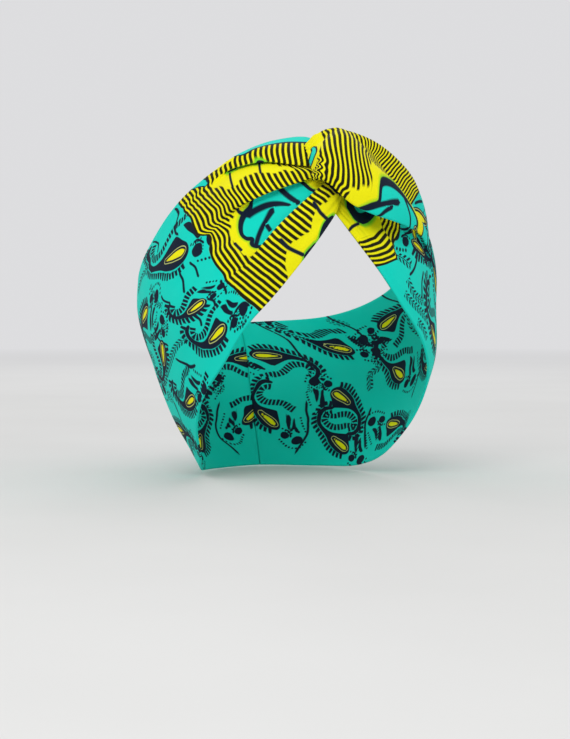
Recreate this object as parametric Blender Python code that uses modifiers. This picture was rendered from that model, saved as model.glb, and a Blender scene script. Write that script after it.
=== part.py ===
"""Turban headband: two knit bands hooked through each other at the front.

Each band runs from the seam at the back of the head, over the ear, to the
knot above the forehead. Heights and lifts are in millimetres above the
origin and above the head form, turns are in degrees from the front.
"""
import bmesh
import bpy
import numpy as np

MM = 0.001
WALL = 1.2
SEAM_HALF_GAP = 0.3
ROWS_PER_FOLD = 3
RIGHT_COLUMNS = 35
LEFT_COLUMNS = 42
FORK_RUN = 0.955
UNDER_ARM_END_RUN = 1.045
RAMP = 0.14
LEAN = 3.8
LEAN_FULL_HEIGHT = 2.0
LEAN_FREE_HEIGHT = 38.0

# The head form that the cloth lies on, level by level.
FORM_COLUMNS = ("height", "half_width", "front_reach", "back_reach")
FORM = (
    (-95, 40, 62, 52),
    (-57, 50, 75, 66),
    (-27, 66, 88, 80),
    (0, 76, 95, 92),
    (15, 80, 97, 97),
    (40, 82, 98, 101),
    (74, 77, 92, 93),
    (100, 66, 78, 78),
    (124, 45, 53, 53),
    (136, 24, 30, 30),
)

# Sections of a band from the back seam (run 0) to the knot (run 1).
SECTION_COLUMNS = ("run", "hem_turn", "hem_height", "top_turn", "top_height")
SIDE_SECTIONS = (
    (0.00, 180, -60, 180, 26),
    (0.17, 140, -60, 142, 30),
    (0.33, 107, -57, 116, 42),
    (0.45, 86, -48, 100, 56),
    (0.55, 74, -32, 88, 69),
    (0.64, 62, -14, 78, 84),
    (0.73, 48.5, 3.5, 68, 97),
    (0.82, 34, 26, 57, 108),
    (0.89, 24, 40.6, 45, 117.5),
    (0.95, 13, 60, 27, 123.8),
)
RIGHT_SECTIONS = SIDE_SECTIONS + (
    (1.00, 0.5, 82, 4, 124.6),
    (1.035, -3, 89.5, -4, 119),
    (1.07, -13, 93, -15, 115),
)
LEFT_SECTIONS = SIDE_SECTIONS + (
    (1.00, 1.5, 81, 7.5, 124.8),
    (1.035, -3.6, 89.5, -2.6, 121.5),
    (1.06, -7.0, 93, -7.0, 117.5),
    (1.08, -8.8, 95, -9.2, 115.5),
)

# Fold lines across a band: share of the way from hem to top, and lift.
RIGHT_STATIONS = (0.64, 0.82, 0.89, 0.95, 1.00, 1.07)
RIGHT_FOLDS = (
    ("hem", (0.00, 0.00, 0.00, 0.00, 0.00, 0.00), (1.0, 1.0, 1.0, 1.5, 4.2, 3.6)),
    ("roll low", (0.12, 0.13, 0.13, 0.15, 0.15, 0.15), (1.0, 2.0, 3.5, 5.5, 7.4, 4.2)),
    ("roll high", (0.20, 0.21, 0.25, 0.29, 0.30, 0.28), (1.0, 2.8, 6.0, 8.5, 9.0, 4.6)),
    ("roll edge", (0.28, 0.26, 0.285, 0.33, 0.365, 0.36), (1.0, 2.6, 4.0, 5.8, 7.0, 4.6)),
    ("tuck", (0.36, 0.31, 0.25, 0.265, 0.33, 0.42), (1.0, 1.8, 1.8, 3.2, 4.8, 4.4)),
    ("floor", (0.44, 0.38, 0.32, 0.33, 0.37, 0.48), (1.0, 1.0, 1.0, 2.0, 4.0, 4.0)),
    ("valley", (0.52, 0.49, 0.45, 0.43, 0.43, 0.52), (1.0, 1.0, 1.0, 1.8, 3.8, 3.8)),
    ("second tuck", (0.585, 0.59, 0.59, 0.535, 0.48, 0.56), (1.0, 1.4, 2.0, 2.8, 4.0, 3.8)),
    ("second rim", (0.65, 0.65, 0.595, 0.535, 0.485, 0.61), (1.0, 2.4, 4.4, 5.8, 6.0, 3.8)),
    ("second crest", (0.75, 0.78, 0.73, 0.65, 0.58, 0.67), (1.0, 3.2, 5.6, 6.8, 6.4, 3.8)),
    ("top tuck", (0.83, 0.88, 0.86, 0.765, 0.685, 0.75), (1.0, 1.0, 2.0, 2.8, 3.6, 3.6)),
    ("top rim", (0.88, 0.915, 0.865, 0.765, 0.69, 0.79), (1.0, 1.8, 3.8, 5.2, 5.2, 3.6)),
    ("top crest", (0.94, 0.955, 0.93, 0.87, 0.84, 0.88), (1.0, 2.2, 4.4, 5.8, 5.2, 3.4)),
    ("top edge", (1.00, 1.00, 1.00, 1.00, 1.00, 1.00), (1.0, 1.0, 1.0, 1.2, 2.4, 3.2)),
)
LEFT_STATIONS = (0.64, 0.73, 0.82, 0.89, 0.95, 1.00, 1.035, 1.06, 1.08)
UNDER_FOLDS = (
    ("hem", (0.00, 0.00, 0.00, 0.00, 0.00, 0.00, 0.00, 0.00, 0.00),
     (1.0, 1.0, 1.0, 1.0, 1.0, 0.9, 0.9, 0.9, 0.9)),
    ("under low", (0.10, 0.11, 0.12, 0.10, 0.08, 0.10, 0.12, 0.12, 0.12),
     (1.0, 1.2, 1.8, 2.0, 1.6, 1.0, 0.9, 0.9, 0.9)),
    ("under high", (0.20, 0.23, 0.26, 0.22, 0.17, 0.22, 0.25, 0.25, 0.25),
     (1.0, 1.2, 1.8, 2.0, 1.4, 0.9, 0.9, 0.9, 0.9)),
    ("pocket", (0.30, 0.37, 0.43, 0.41, 0.33, 0.32, 0.36, 0.36, 0.36),
     (1.0, 1.0, 1.0, 1.2, 1.0, 0.9, 0.9, 0.9, 0.9)),
)
LOOP_FOLDS = (
    ("pocket roof", (0.40, 0.46, 0.50, 0.47, 0.34, 0.16, 0.10, 0.06, 0.04),
     (1.0, 1.4, 2.2, 4.0, 8.0, 11.4, 12.0, 11.4, 9.2)),
    ("loop rim", (0.47, 0.49, 0.50, 0.425, 0.265, 0.06, 0.03, 0.02, 0.05),
     (1.0, 2.0, 4.2, 8.0, 11.6, 14.6, 15.6, 14.6, 9.6)),
    ("loop front", (0.53, 0.54, 0.55, 0.485, 0.36, 0.18, 0.17, 0.17, 0.18),
     (1.0, 2.6, 5.6, 10.2, 15.6, 19.8, 20.6, 17.6, 9.4)),
    ("loop crest", (0.58, 0.59, 0.59, 0.54, 0.52, 0.42, 0.42, 0.40, 0.38),
     (1.0, 2.4, 5.2, 9.4, 16.2, 21.8, 21.8, 17.8, 8.6)),
    ("loop back", (0.63, 0.63, 0.62, 0.57, 0.64, 0.66, 0.64, 0.62, 0.60),
     (1.0, 1.6, 3.6, 6.8, 12.4, 20.2, 16.4, 12.2, 7.8)),
    ("crease", (0.70, 0.68, 0.645, 0.63, 0.735, 0.82, 0.80, 0.79, 0.79),
     (1.0, 1.2, 2.2, 3.8, 9.6, 15.8, 9.6, 8.4, 7.4)),
    ("top crest", (0.86, 0.84, 0.82, 0.81, 0.87, 0.92, 0.92, 0.91, 0.91),
     (1.0, 3.6, 7.6, 12.0, 13.0, 11.0, 8.0, 8.0, 7.8)),
    ("top edge", (1.00, 1.00, 1.00, 1.00, 1.00, 1.00, 1.00, 1.00, 1.00),
     (1.0, 1.0, 1.4, 2.4, 3.8, 5.0, 6.6, 7.2, 7.4)),
)
SLIT_FIRST_ROW = (len(UNDER_FOLDS) - 1) * ROWS_PER_FOLD

TEAL = (0.0, 0.62, 0.50, 1.0)
YELLOW = (0.90, 0.80, 0.01, 1.0)


def spline(knots, values, at):
    """Smooth curve through the knots, with the slopes of its neighbours."""
    knots = np.asarray(knots, float)
    values = np.asarray(values, float)
    first = np.clip(np.searchsorted(knots, at, side="right") - 1, 0, len(knots) - 2)
    slopes = np.gradient(values, knots)
    span = knots[first + 1] - knots[first]
    part = (at - knots[first]) / span
    rise = part * part * (3 - 2 * part)
    leave = part * (1 - part) ** 2 * span * slopes[first]
    arrive = part * part * (part - 1) * span * slopes[first + 1]
    return values[first] * (1 - rise) + values[first + 1] * rise + leave + arrive


def column(table, names, name):
    """One named column of a table."""
    return np.array([row[names.index(name)] for row in table], float)


def on_form(turn, height):
    """Points of the head form at the given turns and heights."""
    angle = np.radians(turn)
    heights = column(FORM, FORM_COLUMNS, "height")
    half, front, back = (spline(heights, column(FORM, FORM_COLUMNS, name), height)
                         for name in FORM_COLUMNS[1:])
    reach = np.where(np.cos(angle) > 0, front, back)
    return np.stack([half * np.sin(angle), -reach * np.cos(angle), height], -1)


def off_form(turn, height):
    """Outward unit vectors of the head form."""
    step = 0.5
    around = on_form(turn + step, height) - on_form(turn - step, height)
    up = on_form(turn, height + step) - on_form(turn, height - step)
    outward = np.cross(around, up)
    return outward / np.linalg.norm(outward, axis=-1, keepdims=True)


def along_run(stations, values, runs):
    """A fold's share or lift: even up to the side, then eased to the knot."""
    knots = np.concatenate([[stations[0] - RAMP], stations])
    eased = np.concatenate([[values[0]], values])
    return spline(knots, eased, np.maximum(runs, knots[0]))


def rounded(lines):
    """Rows of a smooth sheet through fold lines given as run by line points."""
    before = 2 * lines[:, :1] - lines[:, 1:2]
    after = 2 * lines[:, -1:] - lines[:, -2:-1]
    ends = np.concatenate([before, lines, after], 1)

    def knot_step(one, other):
        return np.sqrt(np.maximum(np.linalg.norm(one - other, axis=-1, keepdims=True), 1e-4))

    rows = []
    gaps = lines.shape[1] - 1
    for gap in range(gaps):
        a, b, c, d = (ends[:, gap + k] for k in range(4))
        at_b = knot_step(a, b)
        at_c = at_b + knot_step(b, c)
        at_d = at_c + knot_step(c, d)
        steps = ROWS_PER_FOLD + (1 if gap == gaps - 1 else 0)
        for step in range(steps):
            at = at_b + (at_c - at_b) * step / ROWS_PER_FOLD
            ab = (at_b - at) / at_b * a + at / at_b * b
            bc = (at_c - at) / (at_c - at_b) * b + (at - at_b) / (at_c - at_b) * c
            cd = (at_d - at) / (at_d - at_c) * c + (at - at_c) / (at_d - at_c) * d
            abc = (at_c - at) / at_c * ab + at / at_c * bc
            bcd = (at_d - at) / (at_d - at_b) * bc + (at - at_b) / (at_d - at_b) * cd
            rows.append((at_c - at) / (at_c - at_b) * abc + (at - at_b) / (at_c - at_b) * bcd)
    return np.stack(rows, 1)


def fold_lines(sections, stations, folds, side, runs):
    """Points of each fold line at each run, on the wearer's given side."""
    knots = column(sections, SECTION_COLUMNS, "run")
    hem_turn, hem_height, top_turn, top_height = (
        spline(knots, column(sections, SECTION_COLUMNS, name), runs)
        for name in SECTION_COLUMNS[1:])
    lines = []
    for _, shares, lifts in folds:
        share = along_run(stations, shares, runs)
        lift = along_run(stations, lifts, runs)
        turn = side * (hem_turn + (top_turn - hem_turn) * share)
        height = hem_height + (top_height - hem_height) * share
        lines.append(on_form(turn, height) + off_form(turn, height) * lift[:, None])
    return np.stack(lines, 1)


def runs_to(last, columns):
    """Runs of the columns, closer together towards the knot."""
    share = np.linspace(0, 1, columns + 1)
    return last * (1 - (1 - share) ** 1.5)


def sheet_object(name, points, runs, side, colour, open_cell):
    """A walled sheet over a grid of points, without the cells left open."""
    columns, rows = points.shape[0] - 1, points.shape[1] - 1
    mesh = bpy.data.meshes.new(name)
    grid = bmesh.new()
    bmesh.ops.create_grid(grid, x_segments=columns, y_segments=rows, size=0.5)
    across = np.round((np.array([v.co.x for v in grid.verts]) + 0.5) * columns).astype(int)
    upward = np.round((np.array([v.co.y for v in grid.verts]) + 0.5) * rows).astype(int)
    cell = {v: (i, j) for v, i, j in zip(grid.verts, across, upward)}
    left_out = [face for face in grid.faces
                if open_cell(runs[min(cell[v][0] for v in face.verts)],
                             min(cell[v][1] for v in face.verts))]
    for vert, (i, j) in cell.items():
        vert.co = points[i, j] * MM
    bmesh.ops.delete(grid, geom=left_out, context="FACES")
    if side > 0:
        bmesh.ops.reverse_faces(grid, faces=grid.faces)
    for face in grid.faces:
        face.smooth = True
    grid.to_mesh(mesh)
    grid.free()
    body = bpy.data.objects.new(name, mesh)
    wall = body.modifiers.new("wall", "SOLIDIFY")
    wall.thickness = WALL * MM
    wall.offset = -1
    material = bpy.data.materials.new(name)
    material.use_nodes = True
    shader = material.node_tree.nodes["Principled BSDF"]
    shader.inputs["Base Color"].default_value = colour
    shader.inputs["Roughness"].default_value = 0.8
    mesh.materials.append(material)
    return body


def closed(run, row):
    """The right band has no open cell."""
    return False


def open_past_fork(run, row):
    """The left band's slit, and the end of the arm that lies under the knot."""
    in_slit = SLIT_FIRST_ROW <= row < SLIT_FIRST_ROW + ROWS_PER_FOLD
    past_arm = row < SLIT_FIRST_ROW and run > UNDER_ARM_END_RUN
    return (in_slit and run > FORK_RUN) or past_arm


def seam_gap(points, side):
    """Keeps the sheet clear of the other band where they meet at the back."""
    across = side * points[..., 0]
    behind = points[..., 1] > 0
    points[..., 0] = side * np.where(behind, np.maximum(across, SEAM_HALF_GAP), across)
    return points


def leaned(points):
    """Shifts the low part of a sheet to the wearer's left, as the head tips."""
    share = (LEAN_FREE_HEIGHT - points[..., 2]) / (LEAN_FREE_HEIGHT - LEAN_FULL_HEIGHT)
    share = np.clip(share, 0, 1)
    points[..., 0] += LEAN * share * share * (3 - 2 * share)
    return points


def band(name, sections, stations, folds, side, columns, colour, open_cell):
    """One band from its tables."""
    runs = runs_to(sections[-1][0], columns)
    points = rounded(fold_lines(sections, stations, folds, side, runs))
    points = leaned(seam_gap(points, side))
    return sheet_object(name, points, runs, side, colour, open_cell)


def main():
    for old in list(bpy.data.objects):
        bpy.data.objects.remove(old, do_unlink=True)
    home = bpy.data.collections.new("turban_headband")
    bpy.context.scene.collection.children.link(home)
    home.objects.link(band("right_band", RIGHT_SECTIONS, RIGHT_STATIONS, RIGHT_FOLDS,
                           -1, RIGHT_COLUMNS, TEAL, closed))
    home.objects.link(band("left_band", LEFT_SECTIONS, LEFT_STATIONS,
                           UNDER_FOLDS + LOOP_FOLDS, 1, LEFT_COLUMNS, YELLOW, open_past_fork))


main()
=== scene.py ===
"""Looks of the twisted turban headband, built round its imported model.

Two printed knit bands run from a seam at the back, round both sides, to a
knot at the front, where they hook through each other.
Tables and sizes are in millimetres and degrees, meshes are in metres.
"""
from __future__ import annotations

import logging
import math
from dataclasses import dataclass, field
from enum import Enum
from typing import Any

import bmesh
import bpy
import numpy as np
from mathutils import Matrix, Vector


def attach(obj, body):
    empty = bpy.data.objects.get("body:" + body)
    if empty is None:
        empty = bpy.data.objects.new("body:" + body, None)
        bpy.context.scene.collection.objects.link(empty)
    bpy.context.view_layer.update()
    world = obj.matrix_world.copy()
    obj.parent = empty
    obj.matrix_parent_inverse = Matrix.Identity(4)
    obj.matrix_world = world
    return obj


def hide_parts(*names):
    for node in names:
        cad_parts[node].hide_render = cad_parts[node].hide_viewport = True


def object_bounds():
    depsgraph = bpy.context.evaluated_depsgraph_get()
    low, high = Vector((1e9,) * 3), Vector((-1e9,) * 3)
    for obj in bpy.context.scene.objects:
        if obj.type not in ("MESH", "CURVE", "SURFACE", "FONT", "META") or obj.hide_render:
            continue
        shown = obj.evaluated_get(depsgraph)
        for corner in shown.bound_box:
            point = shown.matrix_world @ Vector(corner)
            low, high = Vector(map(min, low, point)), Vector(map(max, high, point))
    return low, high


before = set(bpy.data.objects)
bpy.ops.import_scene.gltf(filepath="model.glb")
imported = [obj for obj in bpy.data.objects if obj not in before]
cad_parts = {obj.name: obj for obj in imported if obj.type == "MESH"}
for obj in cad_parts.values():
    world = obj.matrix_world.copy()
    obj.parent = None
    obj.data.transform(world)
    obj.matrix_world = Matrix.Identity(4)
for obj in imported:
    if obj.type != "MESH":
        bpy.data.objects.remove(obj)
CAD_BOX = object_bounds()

LOG = logging.getLogger("headband")
MM = 0.001
FAR = 9.0
FULL_TURN = 2 * math.pi
Point = tuple[float, float]


class Side(Enum):
    """The side that a band covers, as it is worn."""

    RIGHT = -1
    LEFT = 1


def spline(knots: np.ndarray, values: np.ndarray, at: np.ndarray) -> np.ndarray:
    """Smooth curve through knots.

    Args:
        knots: rising positions of the known values.
        values: the known values.
        at: positions to read.

    Returns:
        The values at those positions.
    """
    knots = np.asarray(knots, float)
    values = np.asarray(values, float)
    first = np.clip(np.searchsorted(knots, at, side="right") - 1, 0, len(knots) - 2)
    slopes = np.gradient(values, knots)
    span = knots[first + 1] - knots[first]
    part = (at - knots[first]) / span
    rise = part * part * (3 - 2 * part)
    leave = part * (1 - part) ** 2 * span * slopes[first]
    arrive = part * part * (part - 1) * span * slopes[first + 1]
    return values[first] * (1 - rise) + values[first + 1] * rise + leave + arrive


def ease(low: float, high: float, value: np.ndarray) -> np.ndarray:
    """Smooth step from 0 at low to 1 at high.

    Args:
        low: where the step starts.
        high: where it ends, which may be below low.
        value: the values to map.

    Returns:
        The eased values.
    """
    part = np.clip((value - low) / (high - low), 0.0, 1.0)
    return part * part * (3 - 2 * part)


def sizes_of(rows: tuple[Any, ...], name: str) -> np.ndarray:
    """One named size of each row of a table."""
    return np.array([getattr(row, name) for row in rows], float)


@dataclass(frozen=True)
class Level:
    """One level of the block: its height, half width and two reaches."""

    height: float
    half_width: float
    front: float
    back: float


@dataclass(frozen=True)
class Block:
    """The block that the cloth is shaped over, which isn't built itself."""

    levels: tuple[Level, ...] = (
        Level(-95, 40, 62, 52),
        Level(-57, 50, 75, 66),
        Level(-27, 66, 88, 80),
        Level(0, 76, 95, 92),
        Level(15, 80, 97, 97),
        Level(40, 82, 98, 101),
        Level(74, 77, 92, 93),
        Level(100, 66, 78, 78),
        Level(124, 45, 53, 53),
        Level(136, 24, 30, 30),
    )
    probe: float = 0.5

    def point(self, turn: np.ndarray, height: np.ndarray) -> np.ndarray:
        """Points of the block.

        Args:
            turn: degrees from the front, positive towards the left band.
            height: heights above the origin.

        Returns:
            The points, one more axis than the arguments.
        """
        angle = np.radians(turn)
        heights = sizes_of(self.levels, "height")
        half, front, back = (
            spline(heights, sizes_of(self.levels, name), height)
            for name in ("half_width", "front", "back")
        )
        reach = np.where(np.cos(angle) > 0, front, back)
        return np.stack([half * np.sin(angle), -reach * np.cos(angle), height], -1)

    def outward(self, turn: np.ndarray, height: np.ndarray) -> np.ndarray:
        """Unit vectors that point away from the block.

        Args:
            turn: degrees from the front, positive towards the left band.
            height: heights above the origin.

        Returns:
            The vectors, one more axis than the arguments.
        """
        step = self.probe
        around = self.point(turn + step, height) - self.point(turn - step, height)
        up = self.point(turn, height + step) - self.point(turn, height - step)
        away = np.cross(around, up)
        return away / np.linalg.norm(away, axis=-1, keepdims=True)


@dataclass(frozen=True)
class Section:
    """A line across a band, from its hem to its top edge."""

    run: float
    hem_turn: float
    hem_height: float
    top_turn: float
    top_height: float


@dataclass(frozen=True)
class Fold:
    """A fold line along a band: its share across and its lift, per station."""

    name: str
    shares: tuple[float, ...]
    lifts: tuple[float, ...]


@dataclass(frozen=True)
class Loft:
    """A sheet through fold lines, from the back seam (run 0) past the knot (run 1)."""

    sections: tuple[Section, ...]
    stations: tuple[float, ...]
    folds: tuple[Fold, ...]
    side: Side
    columns: int
    rows_per_fold: int
    ramp: float = 0.14
    back_run: float = 0.42
    back_columns: float = 0.19
    back_half_run: float = 0.54
    seam_dip: float = 0.5
    seam_dip_run: float = 0.008
    lean: float = 3.8
    lean_heights: tuple[float, float] = (38.0, 2.0)
    block: Block = field(default_factory=Block)

    def runs(self) -> np.ndarray:
        """Runs of the columns, closer together from the sides to the knot.

        Returns:
            The runs, rising from the back seam.
        """
        share = np.linspace(0, 1, self.columns + 1)
        knots = np.array([0.0, self.back_columns * 0.5, self.back_columns, 1.0])
        runs = (0.0, self.back_run * self.back_half_run, self.back_run, self.sections[-1].run)
        return np.interp(share, knots, runs)

    def _along(self, values: tuple[float, ...], runs: np.ndarray) -> np.ndarray:
        """Reads a fold's values: even up to the side, then eased to the knot.

        Args:
            values: a value for each station.
            runs: the runs of the columns.

        Returns:
            A value for each run.
        """
        knots = np.array((self.stations[0] - self.ramp,) + self.stations)
        eased = np.array((values[0],) + values)
        return spline(knots, eased, np.maximum(runs, knots[0]))

    def _lines(self, runs: np.ndarray) -> np.ndarray:
        """Lays the fold lines over the block.

        Args:
            runs: the runs of the columns.

        Returns:
            Points, runs by fold lines by 3.
        """
        knots = sizes_of(self.sections, "run")
        hem_turn, hem_height, top_turn, top_height = (
            spline(knots, sizes_of(self.sections, name), runs)
            for name in ("hem_turn", "hem_height", "top_turn", "top_height")
        )
        dip = self.seam_dip * (1 - ease(0, self.seam_dip_run, runs)) ** 2
        lines = []
        for fold in self.folds:
            share = self._along(fold.shares, runs)
            lift = self._along(fold.lifts, runs) - dip
            turn = self.side.value * (hem_turn + (top_turn - hem_turn) * share)
            height = hem_height + (top_height - hem_height) * share
            base = self.block.point(turn, height)
            lines.append(base + self.block.outward(turn, height) * lift[:, None])
        return np.stack(lines, 1)

    def _rounded(self, lines: np.ndarray) -> np.ndarray:
        """Fits a smooth sheet through the fold lines.

        Args:
            lines: points, runs by fold lines by 3.

        Returns:
            Points, runs by rows by 3.
        """
        before = 2 * lines[:, :1] - lines[:, 1:2]
        after = 2 * lines[:, -1:] - lines[:, -2:-1]
        ends = np.concatenate([before, lines, after], 1)
        rows = []
        gaps = lines.shape[1] - 1
        for gap in range(gaps):
            a, b, c, d = (ends[:, gap + k] for k in range(4))
            at_b = self._chord(a, b)
            at_c = at_b + self._chord(b, c)
            at_d = at_c + self._chord(c, d)
            last = 1 if gap == gaps - 1 else 0
            for step in range(self.rows_per_fold + last):
                at = at_b + (at_c - at_b) * step / self.rows_per_fold
                ab = (at_b - at) / at_b * a + at / at_b * b
                bc = (at_c - at) / (at_c - at_b) * b + (at - at_b) / (at_c - at_b) * c
                cd = (at_d - at) / (at_d - at_c) * c + (at - at_c) / (at_d - at_c) * d
                abc = (at_c - at) / at_c * ab + at / at_c * bc
                bcd = (at_d - at) / (at_d - at_b) * bc + (at - at_b) / (at_d - at_b) * cd
                share = (at - at_b) / (at_c - at_b)
                rows.append(abc * (1 - share) + bcd * share)
        return np.stack(rows, 1)

    @staticmethod
    def _chord(one: np.ndarray, other: np.ndarray) -> np.ndarray:
        """Root of the distance between points, for even rounding."""
        gap = np.linalg.norm(one - other, axis=-1, keepdims=True)
        return np.sqrt(np.maximum(gap, 1e-4))

    def grid(self) -> np.ndarray:
        """Lays out the sheet.

        Returns:
            Its points, columns along the run by rows from the hem by 3.
        """
        points = self._rounded(self._lines(self.runs()))
        across = self.side.value * points[..., 0]
        behind = points[..., 1] > 0
        kept = np.where(behind, np.maximum(across, 0.0), across)
        points[..., 0] = self.side.value * kept
        points[..., 0] += self.lean * ease(*self.lean_heights, points[..., 2])
        return points

    def row_of(self, name: str) -> int:
        """Row that the named fold line lies on."""
        return [fold.name for fold in self.folds].index(name) * self.rows_per_fold


@dataclass(frozen=True)
class ClothMap:
    """Flat coordinates of a sheet's points: along from the knot, and across."""

    along: np.ndarray
    across: np.ndarray

    @staticmethod
    def of(points: np.ndarray, runs: np.ndarray, measured_at: float = 0.5) -> ClothMap:
        """Measures a sheet along its threads.

        Args:
            points: the sheet's points, columns by rows.
            runs: the runs of its columns.
            measured_at: the run where its width is measured.

        Returns:
            The flat coordinates, in millimetres.
        """
        steps = np.linalg.norm(np.diff(points, axis=0), axis=-1)
        reach = np.concatenate([np.zeros((1, points.shape[1])), np.cumsum(steps, 0)])
        knot = int(np.argmin(np.abs(runs - 1.0)))
        widest = int(np.argmin(np.abs(runs - measured_at)))
        rise = np.linalg.norm(np.diff(points[widest], axis=0), axis=-1)
        across = np.concatenate([[0.0], np.cumsum(rise)])
        return ClothMap(reach[knot] - reach, np.broadcast_to(across, reach.shape))


def outward_of(points: np.ndarray, side: Side) -> np.ndarray:
    """Unit normals of a sheet, away from the hollow.

    Args:
        points: the sheet's points, columns by rows.
        side: the side it covers.

    Returns:
        A vector for each point.
    """
    along = np.gradient(points, axis=0)
    across = np.gradient(points, axis=1)
    away = np.cross(along, across) * -side.value
    return away / np.maximum(np.linalg.norm(away, axis=-1, keepdims=True), 1e-9)


@dataclass(frozen=True)
class Creases:
    """Fine gathers that fan out from the knot along the threads."""

    seed: int
    height: float = 0.55
    reach: float = 95.0
    decay: float = 2.2
    waves: int = 7
    pitch_range: Point = (6.0, 17.0)
    lean_range: Point = (-0.16, 0.16)
    drift_range: Point = (18.0, 50.0)
    wander: float = 0.25
    pleat: Patch | None = None
    pleat_at: Point = (36.0, 29.0)
    pleat_reach: float = 9.0
    pleat_height: float = 0.9
    pleat_rise: float = 0.6
    pleat_fall: float = 5.0

    def relief(self, cloth: ClothMap) -> np.ndarray:
        """Height of the gathers at each point of a sheet.

        Args:
            cloth: the sheet's flat coordinates.

        Returns:
            Heights in millimetres.
        """
        draw = np.random.default_rng(self.seed)
        fade = np.exp(-np.clip(cloth.along, 0, None) / self.reach * self.decay)
        total = np.zeros_like(cloth.along)
        for _ in range(self.waves):
            pitch = draw.uniform(*self.pitch_range)
            phase = draw.uniform(0, FULL_TURN)
            lean = draw.uniform(*self.lean_range)
            drift = draw.uniform(*self.drift_range)
            wander = np.sin(cloth.along / drift + phase * 2) * pitch * self.wander
            wave = np.sin(FULL_TURN * (cloth.across + lean * cloth.along + wander) / pitch + phase)
            total += wave * pitch / self.pitch_range[1]
        gathers = self.height * total * fade / math.sqrt(self.waves)
        if self.pleat is None:
            return gathers
        flat = np.stack([cloth.along, cloth.across], -1)
        past = self.pleat.distance(flat)
        away = np.linalg.norm(flat - np.array(self.pleat_at), axis=-1)
        near = np.exp(-((away / self.pleat_reach) ** 2))
        step = ease(-self.pleat_rise, self.pleat_rise, past) * np.exp(-np.abs(past) / self.pleat_fall)
        return gathers + self.pleat_height * near * step


def curve(points: tuple[Point, ...], closed: bool = False, steps: int = 6) -> np.ndarray:
    """Smooth curve through a few points on the flat cloth.

    Args:
        points: the points, along and across.
        closed: whether the curve comes back to its first point.
        steps: straight pieces between two points.

    Returns:
        Points of the curve, in order. A closed one doesn't repeat its first.
    """
    given = np.array(points, float)
    if closed:
        ends = np.concatenate([given[-1:], given, given[:2]])
    else:
        ends = np.concatenate([2 * given[:1] - given[1:2], given, 2 * given[-1:] - given[-2:-1]])
    before, start, end, after = ends[:-3], ends[1:-2], ends[2:-1], ends[3:]
    pieces = []
    for part in np.arange(steps) / steps:
        pull = (end - before) * part + (2 * before - 5 * start + 4 * end - after) * part**2
        bend = (3 * start - before - 3 * end + after) * part**3
        pieces.append(start + 0.5 * (pull + bend))
    smooth = np.stack(pieces, 1).reshape(-1, 2)
    return smooth if closed else np.concatenate([smooth, given[-1:]])


@dataclass(frozen=True)
class Spot:
    """Place of a motif on the flat cloth: its middle, size, turn and mirroring."""

    along: float
    across: float
    size: float = 1.0
    turn: float = 0.0
    mirrored: bool = False

    def place(self, points: tuple[Point, ...]) -> tuple[Point, ...]:
        """Moves a motif from its own frame to this place.

        Args:
            points: points in the motif's frame.

        Returns:
            The same points on the flat cloth.
        """
        angle = math.radians(self.turn)
        flip = -1.0 if self.mirrored else 1.0
        moved = []
        for x, y in points:
            x, y = x * self.size, y * self.size * flip
            moved.append((
                self.along + x * math.cos(angle) - y * math.sin(angle),
                self.across + x * math.sin(angle) + y * math.cos(angle),
            ))
        return tuple(moved[::-1] if self.mirrored else moved)


def spots(*rows: tuple[Any, ...]) -> tuple[Spot, ...]:
    """Spots from rows of their along, across, size, turn and mirroring."""
    return tuple(Spot(*row) for row in rows)


@dataclass(frozen=True)
class Patch:
    """A shape with a smooth closed outline on the flat cloth."""

    points: tuple[Point, ...]

    def at(self, spot: Spot) -> Patch:
        """The same shape at a spot."""
        return Patch(spot.place(self.points))

    def distance(self, flat: np.ndarray) -> np.ndarray:
        """Signed distance from the outline, less than 0 inside, FAR at most.

        Args:
            flat: points on the flat cloth, any shape by 2.

        Returns:
            A distance in millimetres for each point.
        """
        outline = curve(self.points, closed=True)
        found = np.full(flat.shape[:-1], FAR)
        low, high = outline.min(0) - FAR, outline.max(0) + FAR
        near = ((flat > low) & (flat < high)).all(-1)
        at = flat[near][:, None]
        side = np.roll(outline, -1, 0) - outline
        to = at - outline
        share = np.clip((to * side).sum(-1) / (side**2).sum(-1), 0, 1)
        gap = np.linalg.norm(to - share[..., None] * side, axis=-1).min(1)
        spans = (outline[:, 1] > at[..., 1]) != (np.roll(outline[:, 1], -1) > at[..., 1])
        rise = np.where(side[:, 1] == 0, 1.0, side[:, 1])
        cut = outline[:, 0] + (at[..., 1] - outline[:, 1]) * side[:, 0] / rise
        inside = (spans & (at[..., 0] < cut)).sum(1) % 2 == 1
        found[near] = np.minimum(np.where(inside, -gap, gap), FAR)
        return found


@dataclass(frozen=True)
class Line:
    """A thin printed line: its points and half its width."""

    points: tuple[Point, ...]
    half_width: float = 0.85

    def at(self, spot: Spot) -> Line:
        """The same line at a spot."""
        return Line(spot.place(self.points), self.half_width)


class Edging(Enum):
    """What repeats along a trim."""

    TICKS = 0
    BLOCKS = 1
    DOTS = 2
    FERN = 3


@dataclass(frozen=True)
class Trim:
    """Small marks in a row along a curve."""

    edging: Edging
    points: tuple[Point, ...]
    pitch: float = 3.3

    def at(self, spot: Spot) -> Trim:
        """The same trim at a spot."""
        return Trim(self.edging, spot.place(self.points), self.pitch)


def fern(*points: Point) -> Trim:
    """A stalk with small leaflets along both sides."""
    return Trim(Edging.FERN, points, 3.1)


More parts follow.
